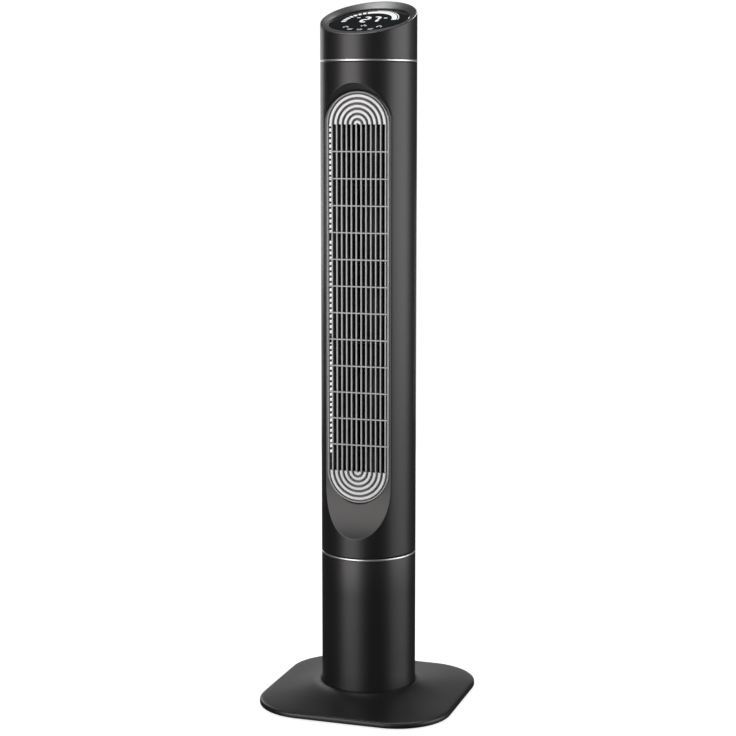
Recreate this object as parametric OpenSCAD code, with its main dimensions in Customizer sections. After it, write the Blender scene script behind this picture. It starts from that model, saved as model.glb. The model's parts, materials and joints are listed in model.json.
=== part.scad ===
// Tower fan: a slim round tower that swings on a short column above a weighted square base.
// Millimetres. +Z is up, the front faces -Y, and the origin is on the floor under the tower's axis.

/* [Tower] */
// Outside radius of the tower, the column and the head
tower_r = 80; // [76:1:84]
// Wall thickness of the plastic shells
wall = 2.5; // [2:0.1:3]
// Height of the two joined casings
tower_h = 820; // [780:5:860]
// Thickness of each silver trim ring
ring_h = 4; // [3:0.5:5]

/* [Base] */
// Side of the square base
base_w = 332; // [320:1:344]
// Radius of the base's round corners
base_corner_r = 92; // [80:1:110]
// Height of the rubber feet
foot_h = 2; // [1.5:0.5:3]
// Height of the base's vertical edge
base_edge_h = 9; // [8:0.5:11]
// Height of the column's top edge above the floor
column_top = 253.4; // [240:0.1:270]

/* [Grille] */
// Distance between two upright slats
slat_pitch = 8.4; // [8:0.1:8.6]
// Width of an upright slat
slat_w = 2.2; // [1.6:0.1:2.6]
// Distance from the tower's axis to the flat floor of the front recess
recess_y = 56; // [54:0.5:57]
// Distance between the centres of the grille's two round ends
grille_len = 575; // [540:5:600]
// Number of level ribs across the slats
rib_count = 12; // [8:1:16]

/* [Rear intake] */
// Distance between two level intake slots
slot_pitch = 9; // [8:0.5:10]
// Height of one intake slot
slot_h = 5.4; // [4:0.2:6]

/* [Head] */
// Height of the head's rim at the front, above the upper trim ring
head_front_h = 39; // [34:1:44]
// Tilt of the head's rim
head_tilt = 20.8; // [16:0.2:24]
// Inside radius of the head's rim
rim_in_r = 67; // [64:0.5:69]

/* [Swivel] */
// Furthest swing to each side
swing = 40; // [30:1:40]
// Teeth on the gear under the tower
gear_teeth = 48; // [48:1:48]
// Teeth on the swing motor's pinion
pinion_teeth = 16; // [16:1:16]

/* [Impeller] */
// Outside radius of the impeller
impeller_r = 42; // [38:0.5:43]
// Inside radius of the ring of blades
blade_in_r = 31; // [28:0.5:32]
// Number of blades
blade_count = 36; // [28:1:36]
// Angle between a blade's outer end and the rim's tangent
blade_angle = 30; // [26:1:36]

/* [Hidden] */
$fn = 96;
big = 500;
fit = 0.02;
run = 0.05;
slack = 0.4;

black = [0.09, 0.09, 0.10];
panel_black = [0.03, 0.03, 0.035];
silver = [0.78, 0.78, 0.80];
steel = [0.62, 0.63, 0.65];
brass = [0.75, 0.62, 0.32];
white_plastic = [0.88, 0.88, 0.85];
rubber = [0.16, 0.16, 0.16];
board_green = [0.10, 0.36, 0.20];
copper = [0.72, 0.42, 0.22];

// Base
skirt = 3;
edge_top = foot_h + base_edge_h;
cover_t = 2.4;
shelf_z = 17;
shelf_t = 3;
collar_r = tower_r + 5;
collar_top = 29;
dome_r = base_w / 2 - 4;
foot_r = 12;
foot_at = 118;
base_screw_r = 148;
column_screw_r = 60;
column_bottom = shelf_z + 0.05;
gland_z = 48;
gland_neck_r = 7.9;
gland_bore_r = 3.6;

// Swivel, from the fixed plate in the column up to the tower's floor
inner_r = tower_r - wall;
tower_bottom = column_top + ring_h + 0.6;
plate_z = tower_bottom - 32;
plate_t = 4;
turntable_screw_r = inner_r - 4;
hub_r = 16;
hub_bore_r = 10;
hub_screw_r = 27;
bush_r = 20;
bush_flange_r = 22.5;
gear_module = 1.5;
gear_r = gear_module * gear_teeth / 2;
pinion_r = gear_module * pinion_teeth / 2;
centre_x = gear_r + pinion_r;
gear_z = plate_z - 11;
gear_t = 8;
stop_r = 30;
stop_pin_r = 2.3;
swing_motor_r = 25;
swing_shaft_r = 3.5;
swing_lug_y = 30;
flat_y = 14.5;

// Tower
tower_top = tower_bottom + tower_h;
floor_t = 4;
grille_mid = tower_bottom + 431.6;
arc_top = grille_mid + grille_len / 2;
arc_low = grille_mid - grille_len / 2;
rim_y = recess_y + 3.5;
slat_y = recess_y - 2;
slat_d = 5;
mouth_r = 50.6;
opening_r = 52;
flange_r = 53.4;
recess_half = 58.5;
recess_top_r = 66;
scoop_start = arc_low - 24;
scoop_r = 170;
seam_x = tower_r - 7;
casing_screw_z = [for (dz = [42, 355, 532, 790]) tower_bottom + dz];
intake_low = tower_bottom + 157;
intake_high = tower_bottom + 742;
intake_left_y = tower_r * sin(7);
intake_right_y = tower_r * sin(25);
intake_depth = 0.5;

// Fan unit
fan_at = [6, 10];
motor_plate_z = tower_bottom + 80;
duct_top_z = tower_bottom + 756;
fan_plate_t = 3;
impeller_z = motor_plate_z + 12;
impeller_top = duct_top_z - 4;
shaft_r = 4;
scroll_from = 95;
scroll_to = -35;
scroll_t = 2;
motor_r = 36;
motor_z = tower_bottom + 18;
motor_h = 54;
motor_mount_r = 27;
bearing_r = 7;
top_bearing_r = 9;
holder_r = 12.5;
stator_low = motor_z + 12;
stator_high = motor_z + 42;
harness_at = [60, 35];

// Head
head_z = tower_top + ring_h;
head_mid = head_z + head_front_h + tower_r * tan(head_tilt);
panel_tilt = head_tilt - 2.8;
panel_mid = head_mid - 5;
panel_t = 2;
board_post_r = 50;
board_z = tower_top + 2;
board_t = 1.6;

// ---- Shared shapes ----

module disc(r, z0, z1) {
    translate([0, 0, z0]) cylinder(r = r, h = z1 - z0);
}

module tube(ro, ri, z0, z1) {
    difference() {
        disc(ro, z0, z1);
        disc(ri, z0 - 1, z1 + 1);
    }
}

module rounded_square(w, r) {
    square([w, w - 2 * r], center = true);
    square([w - 2 * r, w], center = true);
    for (sx = [-1, 1], sy = [-1, 1]) translate([sx, sy] * (w / 2 - r)) circle(r);
}

module around(count, r, start = 0) {
    for (i = [0 : count - 1]) rotate(start + i * 360 / count) translate([r, 0, 0]) children();
}

// A pan-head screw standing on z = 0, its shank pointing down.
module screw(shank_r, length, head_r = 3.2, head_h = 2.2) {
    difference() {
        union() {
            disc(head_r, 0, head_h);
            disc(shank_r, -length, 0.1);
        }
        for (a = [0, 90]) rotate(a) translate([-1.6, -0.35, head_h - 0.9]) cube([3.2, 0.7, 2]);
    }
}

// Points along Y: turns a shape built along +Z so that its +Z is the row's +Y.
module along_y() {
    rotate([-90, 0, 0]) children();
}

// The half space below a plane that rises towards the back.
module below_slant(z_mid, tilt) {
    translate([0, 0, z_mid]) rotate([tilt, 0, 0]) translate([-big / 2, -big / 2, -big]) cube([big, big, big]);
}

// ---- Base ----

module base_profile(drop) {
    polygon([
        [0, foot_h - 1], [dome_r, foot_h - 1], [dome_r, edge_top - drop],
        [dome_r - 24, edge_top + 3.6 - drop], [collar_r + 15, edge_top + 11 - drop],
        [collar_r + 5, edge_top + 14 - drop], [collar_r, collar_top - drop], [0, collar_top - drop]
    ]);
}

module base_cavity() {
    translate([0, 0, foot_h - 1]) linear_extrude(base_edge_h - skirt + 1)
        rounded_square(base_w - 2 * skirt, base_corner_r - skirt);
    difference() {
        rotate_extrude() base_profile(skirt);
        disc(collar_r + 1, shelf_z - shelf_t, collar_top + 1);
    }
}

module base_screw_places() {
    around(8, base_screw_r) children();
}

module base_plate() {
    color(black) difference() {
        union() {
            difference() {
                union() {
                    translate([0, 0, foot_h]) linear_extrude(base_edge_h)
                        rounded_square(base_w, base_corner_r);
                    intersection() {
                        rotate_extrude() base_profile(0);
                        disc(dome_r + 1, foot_h, collar_top + 1);
                    }
                }
                base_cavity();
                disc(tower_r + 0.2, shelf_z, collar_top + 1);
                disc(30, 0, collar_top);
            }
            base_screw_places() disc(4.5, foot_h + cover_t + 0.1, edge_top + 1);
        }
        base_screw_places() disc(1.5, 0, edge_top - 2.5);
        around(4, column_screw_r, 45) disc(2.2, 0, collar_top);
    }
}

module base_cover() {
    color(black) difference() {
        translate([0, 0, foot_h]) linear_extrude(cover_t)
            rounded_square(base_w - 2 * (skirt + slack), base_corner_r - skirt - slack);
        base_screw_places() {
            disc(1.8, 0, edge_top);
            disc(3.8, 0, foot_h + 1.4);
        }
    }
}

module ballast_ring() {
    color(steel) tube(125, 70, foot_h + cover_t + 0.1, edge_top);
}

module rubber_feet() {
    color(rubber) for (sx = [-1, 1], sy = [-1, 1]) translate([sx * foot_at, sy * foot_at, 0])
        disc(foot_r, 0, foot_h);
}

module base_screws() {
    color(steel) base_screw_places() translate([0, 0, foot_h + 1.4]) mirror([0, 0, 1])
        screw(1.45, 5, 3.4, 1.3);
}

// ---- Column ----

module column_shell() {
    color(black) difference() {
        union() {
            tube(tower_r, inner_r, column_bottom, column_top);
            tube(inner_r + 0.5, 45, column_bottom, column_bottom + 3);
            around(4, column_screw_r, 45) disc(5, column_bottom, column_bottom + 13);
            around(4, turntable_screw_r, 45) intersection() {
                disc(5, plate_z - 34, plate_z);
                translate([-turntable_screw_r, 0, 0]) disc(inner_r + 0.5, plate_z - 40, plate_z);
            }
        }
        around(4, column_screw_r, 45) disc(1.5, 0, column_bottom + 12);
        around(4, turntable_screw_r, 45) disc(1.55, plate_z - 20, plate_z + 1);
        translate([0, tower_r - 8, gland_z]) along_y() cylinder(r = gland_neck_r + 0.1, h = 12);
    }
}

module cord_gland() {
    color(rubber) translate([0, tower_r, gland_z]) along_y() difference() {
        union() {
            disc(11, 0, 2.5);
            disc(gland_neck_r, -4, 1);
            disc(10.4, -6.1, -3.6);
        }
        disc(gland_bore_r, -7, 4);
    }
}

module column_screws() {
    color(steel) around(4, column_screw_r, 45) translate([0, 0, shelf_z - shelf_t]) mirror([0, 0, 1])
        screw(1.45, 13, 3.4, 2.2);
}

module lower_trim_ring() {
    color(silver) tube(tower_r + slack, tower_r - 6, column_top, column_top + ring_h);
}

// ---- Swivel ----

module arc_slot(r, half_width, half_angle, z0, z1) {
    translate([0, 0, z0]) rotate(-90 - half_angle) rotate_extrude(angle = 2 * half_angle)
        translate([r - half_width, 0]) square([2 * half_width, z1 - z0]);
}

module turntable_plate() {
    slot_half_angle = swing + asin((stop_pin_r + 0.4) / stop_r);
    color(white_plastic) difference() {
        disc(inner_r - 0.3, plate_z, plate_z + plate_t);
        disc(bush_r + run, plate_z - 1, plate_z + plate_t + 1);
        arc_slot(stop_r, stop_pin_r + 0.3, slot_half_angle, plate_z - 1, plate_z + plate_t + 1);
        translate([centre_x, 0, 0]) disc(9, plate_z - 1, plate_z + plate_t + 1);
        for (sy = [-1, 1]) translate([centre_x, sy * swing_lug_y, 0])
            disc(1.5, plate_z - 1, plate_z + plate_t + 1);
        around(4, turntable_screw_r, 45) disc(1.8, plate_z - 1, plate_z + plate_t + 1);
    }
}

module turntable_screws() {
    color(steel) around(4, turntable_screw_r, 45) translate([0, 0, plate_z + plate_t]) screw(1.5, 16);
}

module pivot_bush() {
    color(white_plastic) {
        tube(bush_r, hub_r + run, plate_z - 2, plate_z + plate_t);
        tube(bush_flange_r, hub_r + run, plate_z + plate_t, plate_z + plate_t + 2);
    }
}

module swing_motor() {
    top = plate_z + plate_t;
    color(steel) translate([centre_x, 0, 0]) difference() {
        union() {
            disc(swing_motor_r, top, top + 18);
            translate([-6, -swing_lug_y - 5, top]) cube([12, 2 * swing_lug_y + 10, 1.5]);
        }
        disc(swing_shaft_r + run, top - 1, top + 12);
        for (sy = [-1, 1]) translate([0, sy * swing_lug_y, 0]) disc(1.8, top - 1, top + 5);
    }
}

module swing_motor_screws() {
    color(steel) for (sy = [-1, 1]) translate([centre_x, sy * swing_lug_y, plate_z + plate_t + 1.5])
        screw(1.45, 5.4, 2.8, 2);
}

module swing_motor_shaft() {
    color(steel) translate([centre_x, 0, 0]) disc(swing_shaft_r, gear_z - 1, plate_z + plate_t + 11.5);
}

// Involute gears. The flank's turn at a radius is measured from where it leaves the base circle.
function flank(r, base_r) = let (t = sqrt(max(0, pow(r / base_r, 2) - 1))) t * 180 / PI - atan(t);
function polar(r, a) = [r * cos(a), r * sin(a)];

module gear_outline(teeth, pitch_r) {
    pressure = 20;
    steps = 4;
    backlash = 0.08;
    base_r = pitch_r * cos(pressure);
    root_r = pitch_r - 1.2 * gear_module;
    tip_r = pitch_r + 0.9 * gear_module;
    start_r = max(root_r, base_r);
    radii = [root_r, for (i = [0 : steps]) start_r + (tip_r - start_r) * i / steps];
    thinning = backlash / pitch_r * 180 / PI;
    half = [for (r = radii) 90 / teeth + flank(pitch_r, base_r) - flank(r, base_r) - thinning];
    last = len(radii) - 1;
    polygon([
        for (k = [0 : teeth - 1]) each [
            for (i = [0 : last]) polar(radii[i], k * 360 / teeth - half[i]),
            for (i = [last : -1 : 0]) polar(radii[i], k * 360 / teeth + half[i])
        ]
    ]);
}

module swing_pinion() {
    color(white_plastic) translate([centre_x, 0, gear_z]) difference() {
        rotate(180 / pinion_teeth) linear_extrude(gear_t) gear_outline(pinion_teeth, pinion_r);
        disc(swing_shaft_r + fit, -1, gear_t + 1);
    }
}

module double_flat(r, half_flat, z0, z1) {
    intersection() {
        disc(r, z0, z1);
        translate([-big / 2, -half_flat, z0]) cube([big, 2 * half_flat, z1 - z0]);
    }
}

module swivel_gear() {
    color(white_plastic) {
        difference() {
            translate([0, 0, gear_z]) linear_extrude(gear_t) gear_outline(gear_teeth, gear_r);
            double_flat(hub_r + run, flat_y + run, gear_z - 1, gear_z + gear_t + 1);
        }
        translate([0, -stop_r, 0]) disc(stop_pin_r, gear_z + gear_t - 1, plate_z + plate_t - 1);
    }
}

module swivel_hub() {
    groove_z = gear_z - 1.8;
    color(steel) difference() {
        union() {
            double_flat(hub_r, flat_y, gear_z - 4, gear_z + gear_t + 0.6);
            disc(hub_r, gear_z + gear_t + 0.6, tower_bottom - 3);
            disc(22, plate_z + plate_t + 2.2, plate_z + plate_t + 8);
            disc(34, tower_bottom - 4, tower_bottom);
        }
        disc(hub_bore_r, gear_z - 5, tower_bottom + 1);
        tube(hub_r + 1, hub_r - 2.6, groove_z, groove_z + 1.6);
        around(4, hub_screw_r) disc(1.8, tower_bottom - 5, tower_bottom + 1);
    }
}

module hub_retaining_ring() {
    color(steel) difference() {
        tube(hub_r + 3, hub_r - 2.5, gear_z - 1.7, gear_z - 0.3);
        translate([0, -5, gear_z - 3]) cube([30, 10, 4]);
    }
}

module hub_screws() {
    color(steel) around(4, hub_screw_r) translate([0, 0, tower_bottom - 4]) mirror([0, 0, 1])
        screw(1.7, 9, 3.2, 2);
}

module tower_floor() {
    color(black) difference() {
        union() {
            disc(inner_r - 0.3, tower_bottom, tower_bottom + floor_t);
            around(4, hub_screw_r) disc(5, tower_bottom + 1, tower_bottom + 9);
        }
        disc(hub_bore_r, tower_bottom - 1, tower_bottom + floor_t + 1);
        around(4, hub_screw_r) disc(1.75, tower_bottom - 1, tower_bottom + 6);
    }
}

// ---- Casings ----

// What the front recess removes; grow pushes its surface back, to make the inside of the wall.
module recess_cut(grow) {
    // Flat floor, running down into the curved scoop
    translate([-big / 2, 0, 0]) rotate([90, 0, 90]) linear_extrude(big) {
        translate([-big, scoop_start]) square([big - recess_y + grow, arc_top - scoop_start]);
        intersection() {
            translate([-recess_y - scoop_r, scoop_start]) circle(scoop_r + grow, $fn = 360);
            translate([-big, scoop_start - scoop_r]) square([big, scoop_r]);
        }
    }
    // Round top with a sloping wall
    flare = (recess_top_r - recess_half) / (tower_r - recess_y);
    depth = tower_r + 10 - recess_y + grow;
    intersection() {
        translate([0, -recess_y + grow, arc_top]) rotate([90, 0, 0])
            cylinder(r1 = recess_half + grow, r2 = recess_half + grow + flare * depth, h = depth);
        translate([-big / 2, -big, arc_top]) cube([big, big, big]);
    }
}

module stadium(r) {
    translate([0, arc_top]) circle(r);
    translate([0, arc_low]) circle(r);
    translate([-r, arc_low]) square([2 * r, arc_top - arc_low]);
}

// A stadium-shaped block between two distances in front of the axis.
module stadium_block(r, y0, y1) {
    translate([0, -y0, 0]) rotate([90, 0, 0]) linear_extrude(y1 - y0) stadium(r);
}

module front_half() {
    translate([-big / 2, -big, 0]) cube([big, big, 3 * big]);
}

module rear_half() {
    translate([-big / 2, 0, 0]) cube([big, big, 3 * big]);
}

module casing_screw_places() {
    for (z = casing_screw_z, sx = [-1, 1]) translate([sx * seam_x, 0, z]) children();
}

module front_casing() {
    color(black) difference() {
        union() {
            intersection() {
                difference() {
                    disc(tower_r, tower_bottom, tower_top);
                    recess_cut(0);
                    difference() {
                        disc(inner_r, tower_bottom - 1, tower_top + 1);
                        recess_cut(wall);
                    }
                }
                front_half();
            }
            intersection() {
                casing_screw_places() rotate([90, 0, 0]) cylinder(r = 4.8, h = 18);
                disc(inner_r + 0.5, tower_bottom, tower_top);
            }
            // Seat behind the grille's rim, where the scoop has already begun
            stadium_block(flange_r + 2, recess_y - wall, recess_y);
        }
        stadium_block(opening_r, recess_y - 10, recess_y + 10);
        stadium_block(flange_r + 0.15, recess_y, recess_y + 12);
        casing_screw_places() rotate([90, 0, 0]) translate([0, 0, -1]) cylinder(r = 1.5, h = 16);
    }
}

// The part of the rear wall that draws air. It ends sooner on the right, where the scroll wall is.
module intake_span(z, h) {
    translate([-big / 2, intake_left_y, z]) cube([big / 2 + 1, big, h]);
    translate([0, intake_right_y, z]) cube([big / 2, big, h]);
}

// The level slots, and the shallow band of the wall that they lie in.
module intake_slots() {
    last = floor((intake_high - intake_low) / slot_pitch);
    band_h = last * slot_pitch + slot_h;
    for (i = [0 : last]) intake_span(intake_low + i * slot_pitch, slot_h);
    intersection() {
        tube(tower_r + 5, tower_r - intake_depth, intake_low, intake_low + band_h);
        intake_span(intake_low - 1, band_h + 2);
    }
}

module rear_casing() {
    color(black) difference() {
        union() {
            intersection() {
                difference() {
                    tube(tower_r, inner_r, tower_bottom, tower_top);
                    intake_slots();
                }
                rear_half();
            }
            // Upright ribs that tie the intake's level bars together
            intersection() {
                for (a = [-60, -20, 20, 60]) rotate(a) translate([-1, inner_r - 3, intake_low - 6])
                    cube([2, 4, intake_high - intake_low + 16]);
                disc(inner_r + 1, intake_low - 6, intake_high + 12);
            }
            intersection() {
                casing_screw_places() along_y() cylinder(r = 5.6, h = 60);
                disc(tower_r - 2 * intake_depth, tower_bottom, tower_top);
            }
        }
        casing_screw_places() along_y() {
            translate([0, 0, -1]) cylinder(r = 1.9, h = 20);
            translate([0, 0, 6]) cylinder(r = 3.9, h = 60);
        }
    }
}

module casing_screws() {
    color(steel) casing_screw_places() translate([0, 6, 0]) along_y() screw(1.45, 18, 3.4, 2.2);
}

// ---- Grille ----

module front_grille() {
    bay = grille_len / (rib_count + 1);
    color(silver) {
        difference() {
            union() {
                stadium_block(flange_r, recess_y, rim_y);
                stadium_block(opening_r - 0.2, recess_y - wall - 0.5, recess_y + 0.5);
            }
            stadium_block(mouth_r, recess_y - 20, rim_y + 1);
        }
        for (i = [-5.5 : 1 : 5.5])
            translate([i * slat_pitch - slat_w / 2, -slat_y, arc_low - 4])
                cube([slat_w, slat_d, grille_len + 8]);
        for (k = [1 : rib_count])
            translate([-mouth_r - 0.3, -slat_y - 3.5, arc_low + k * bay - 0.8])
                cube([2 * mouth_r + 0.6, 4.5, 1.6]);
    }
}

// Half a disc with raised half rings, each in line with a slat on both sides.
module end_cap() {
    ridge = 4.4;
    plate_t = 3;
    ridge_low = plate_t - 0.1;
    color(silver) intersection() {
        union() {
            translate([0, -slat_y, 0]) rotate([90, 0, 0]) cylinder(r = mouth_r - 0.2, h = plate_t);
            for (k = [0 : 5]) translate([0, -slat_y - ridge_low, 0]) rotate([90, 0, 0]) difference() {
                cylinder(r = (k + 0.5) * slat_pitch + ridge / 2, h = rim_y - slat_y - ridge_low);
                if (k > 0) translate([0, 0, -1]) cylinder(r = (k + 0.5) * slat_pitch - ridge / 2, h = 10);
            }
        }
        translate([-big / 2, -big, 0]) cube([big, big, big]);
    }
}

module upper_grille_cap() {
    translate([0, 0, arc_top]) end_cap();
}

module lower_grille_cap() {
    translate([0, 0, arc_low]) mirror([0, 0, 1]) end_cap();
}

// ---- Fan unit ----

module at_fan() {
    translate([fan_at.x, fan_at.y, 0]) children();
}

module plate_outline(front) {
    intersection() {
        circle(inner_r - 0.5);
        translate([-big / 2, -front]) square([big, big]);
    }
}

module harness_hole(z) {
    translate([harness_at.x, harness_at.y, 0]) disc(4.5, z - 1, z + 10);
}

module motor_plate() {
    color(black) difference() {
        translate([0, 0, motor_plate_z]) linear_extrude(fan_plate_t) plate_outline(recess_y);
        at_fan() disc(14, motor_plate_z - 1, motor_plate_z + 9);
        at_fan() around(3, motor_mount_r) disc(2, motor_plate_z - 1, motor_plate_z + 9);
        harness_hole(motor_plate_z);
    }
}

module duct_top_plate() {
    z = duct_top_z;
    color(black) difference() {
        union() {
            translate([0, 0, z]) linear_extrude(fan_plate_t) plate_outline(slat_y - slat_d - 0.5);
            at_fan() disc(16, z, z + 13);
        }
        at_fan() disc(holder_r + fit, z - 1, z + 14);
        harness_hole(z);
    }
}

// The curved wall behind the impeller opens steadily from the back round to the outlet's right edge.
function scroll_gap(a) = 4 + 10 * (scroll_from - a) / (scroll_from - scroll_to);
function scroll_point(a, t) = fan_at + polar(impeller_r + scroll_gap(a) + t, a);

module scroll_wall() {
    step = 5;
    front = -(slat_y - slat_d - 1);
    inside = scroll_point(scroll_to, 0);
    color(black) translate([0, 0, motor_plate_z + fan_plate_t])
        linear_extrude(duct_top_z - motor_plate_z - fan_plate_t) polygon([
            for (a = [scroll_from : -step : scroll_to]) scroll_point(a, 0),
            [inside.x, front], [inside.x + scroll_t, front],
            for (a = [scroll_to : step : scroll_from]) scroll_point(a, scroll_t)
        ]);
}

// The wall in front of the impeller, with a lip that follows the blades round to the left.
module vortex_wall() {
    lip_r = impeller_r + 4;
    lip_t = 2.4;
    lip_from = 165;
    lip_to = 228;
    front = -(slat_y - slat_d - 1);
    corner = fan_at + polar(lip_r + lip_t, lip_to - 6);
    color(black) translate([0, 0, motor_plate_z + fan_plate_t])
        linear_extrude(duct_top_z - motor_plate_z - fan_plate_t) {
            translate(fan_at) intersection() {
                difference() {
                    circle(lip_r + lip_t);
                    circle(lip_r);
                }
                polygon([[0, 0], for (a = [lip_from, lip_to]) polar(2 * impeller_r, a)]);
            }
            polygon([[-46, front], [-43.6, front], fan_at + polar(lip_r + 0.6, lip_to), corner]);
        }
}

module fan_motor_case() {
    top = motor_z + motor_h;
    color(steel) at_fan() difference() {
        union() {
            disc(motor_r, motor_z, top);
            disc(11, motor_z - 6, top + 6);
        }
        disc(motor_r - 3, motor_z + 4, top - 4);
        disc(bearing_r + fit, motor_z - 7, top + 7);
        around(3, motor_mount_r) disc(1.6, top - 5, top + 1);
    }
}

module motor_stator() {
    color(steel) at_fan() tube(motor_r - 3 - fit, 19, stator_low, stator_high);
}

module motor_windings() {
    color(copper) at_fan() {
        tube(motor_r - 6, 20, stator_low - 6, stator_low);
        tube(motor_r - 6, 20, stator_high, stator_high + 6);
    }
}

module motor_bearings() {
    color(brass) at_fan() {
        tube(bearing_r, shaft_r + run, motor_z - 6, motor_z + 3);
        tube(bearing_r, shaft_r + run, motor_z + motor_h - 3, motor_z + motor_h + 6);
    }
}

module motor_mounts() {
    color(rubber) at_fan() around(3, motor_mount_r) tube(6, 2.2, motor_z + motor_h, motor_plate_z);
}

module motor_screws() {
    color(steel) at_fan() around(3, motor_mount_r) translate([0, 0, motor_plate_z + fan_plate_t])
        screw(1.55, 14);
}

module fan_motor_shaft() {
    color(steel) at_fan() disc(shaft_r, motor_z - 8, impeller_z + 10);
}

module motor_rotor() {
    color(steel) at_fan() tube(18.4, shaft_r + fit, stator_low, stator_high);
}

module impeller_hub() {
    color(brass) at_fan() difference() {
        tube(10, shaft_r + fit, impeller_z - 4, impeller_z + 9);
        translate([0, 0, impeller_z - 2]) rotate([0, 90, 0]) cylinder(r = 1.5, h = 20);
    }
}

module hub_set_screw() {
    color(steel) at_fan() translate([shaft_r + 0.1, 0, impeller_z - 2]) rotate([0, 90, 0])
        cylinder(r = 1.48, h = 5.5);
}

// One blade: an arc that starts radially at the inner radius and leans over at the outer one.
module blade_outline() {
    thickness = 1;
    arc_r = (pow(impeller_r, 2) - pow(blade_in_r, 2)) / (2 * impeller_r * cos(blade_angle));
    intersection() {
        translate([blade_in_r, arc_r]) difference() {
            circle(arc_r + thickness);
            circle(arc_r);
        }
        difference() {
            circle(impeller_r - 0.5);
            circle(blade_in_r);
        }
        translate([blade_in_r - 2, -thickness - 1]) square([20, arc_r]);
    }
}

module impeller() {
    sections = 5;
    step = (impeller_top - impeller_z - 2.5) / sections;
    color(black) at_fan() {
        difference() {
            union() {
                disc(impeller_r, impeller_z, impeller_z + 2.5);
                disc(impeller_r, impeller_top - 2.5, impeller_top);
            }
            disc(10 + fit, impeller_z - 1, impeller_z + 5);
            disc(8 + fit, impeller_top - 5, impeller_top + 1);
        }
        for (i = [1 : sections - 1]) translate([0, 0, impeller_z + i * step])
            tube(impeller_r, blade_in_r - 4, 0, 2);
        for (k = [0 : blade_count - 1]) rotate(k * 360 / blade_count)
            translate([0, 0, impeller_z + 1]) linear_extrude(impeller_top - impeller_z - 2) blade_outline();
    }
}

module impeller_pin() {
    color(steel) at_fan() {
        disc(8, impeller_top - 2.5, impeller_top);
        disc(shaft_r, impeller_top - 1, duct_top_z + 14);
    }
}

module top_bearing() {
    color(brass) at_fan() tube(top_bearing_r, shaft_r + run, duct_top_z + 2, duct_top_z + 12);
}

module bearing_holder() {
    color(rubber) at_fan() tube(holder_r, top_bearing_r + fit, duct_top_z + 0.5, duct_top_z + 12.5);
}

// ---- Electrical parts ----

module power_board() {
    z = tower_bottom + 14;
    translate([0, 60, z]) {
        color(board_green) translate([-34, 0, 0]) cube([68, 1.6, 52]);
        color(panel_black) translate([-28, -9, 6]) cube([20, 9.2, 18]);
        color(white_plastic) translate([-2, -7, 6]) cube([14, 7.2, 12]);
        color(white_plastic) translate([18, -6, 30]) cube([12, 6.2, 16]);
    }
}

module run_capacitor() {
    color(white_plastic) translate([-49, 15, tower_bottom + floor_t]) rotate(28) cube([12, 28, 34]);
}

module wire_harness() {
    color(rubber) translate([harness_at.x, harness_at.y, 0]) disc(3, tower_bottom + 30, head_z + 6);
}

// ---- Head ----

module upper_trim_ring() {
    color(silver) tube(tower_r + slack, tower_r - 6, tower_top, tower_top + ring_h);
}

module head_chassis() {
    z = tower_top - 10;
    color(black) difference() {
        union() {
            disc(inner_r - 0.3, z, z + 3);
            around(3, board_post_r, 90) disc(4.5, z + 2, z + 12);
        }
        harness_hole(z);
        around(3, board_post_r, 90) disc(1.5, z + 4, z + 13);
    }
}

module head_shell() {
    color(black) difference() {
        intersection() {
            disc(tower_r, head_z, head_z + 2 * tower_r);
            below_slant(head_mid, head_tilt);
        }
        // Well that the panel lies in
        difference() {
            disc(rim_in_r, head_z, head_z + 2 * tower_r);
            below_slant(panel_mid - panel_t, panel_tilt);
        }
        // Hollow inside
        intersection() {
            disc(inner_r, head_z - 1, head_z + 2 * tower_r);
            below_slant(panel_mid - panel_t - wall, panel_tilt);
        }
        // Window for the lights under the panel
        disc(48, head_z, head_z + 2 * tower_r);
    }
}

module slanted_sheet(r, top_mid, t) {
    difference() {
        intersection() {
            disc(r, head_z, head_z + 2 * tower_r);
            below_slant(top_mid, panel_tilt);
        }
        below_slant(top_mid - t, panel_tilt);
    }
}

module display_panel() {
    color(panel_black) slanted_sheet(rim_in_r - 0.2, panel_mid, panel_t);
}

module display_board() {
    top = panel_mid - panel_t - wall - 0.5;
    color(board_green) slanted_sheet(56, top, board_t);
}

module control_board() {
    z = board_z;
    color(board_green) difference() {
        disc(58, z, z + board_t);
        around(3, board_post_r, 90) disc(1.6, z - 1, z + 3);
    }
    color(panel_black) translate([-10, -20, z + 1]) cube([20, 14, 3.6]);
    color(white_plastic) translate([-30, 12, z + 1]) cube([16, 10, 8]);
}

module board_screws() {
    color(steel) around(3, board_post_r, 90) translate([0, 0, board_z + board_t]) screw(1.45, 7);
}

base_plate();
base_cover();
ballast_ring();
rubber_feet();
base_screws();
column_shell();
column_screws();
cord_gland();
lower_trim_ring();
turntable_plate();
turntable_screws();
pivot_bush();
swing_motor();
swing_motor_screws();
swing_motor_shaft();
swing_pinion();
swivel_hub();
swivel_gear();
hub_retaining_ring();
hub_screws();
tower_floor();
front_casing();
rear_casing();
casing_screws();
front_grille();
upper_grille_cap();
lower_grille_cap();
motor_plate();
duct_top_plate();
scroll_wall();
vortex_wall();
fan_motor_case();
motor_stator();
motor_windings();
motor_bearings();
motor_mounts();
motor_screws();
power_board();
run_capacitor();
wire_harness();
top_bearing();
bearing_holder();
fan_motor_shaft();
motor_rotor();
impeller_hub();
impeller();
impeller_pin();
hub_set_screw();
upper_trim_ring();
head_chassis();
head_shell();
display_panel();
display_board();
control_board();
board_screws();
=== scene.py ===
"""Looks of the tower fan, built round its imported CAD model. Metres, in the model's own frame."""

import json
import math

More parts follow.
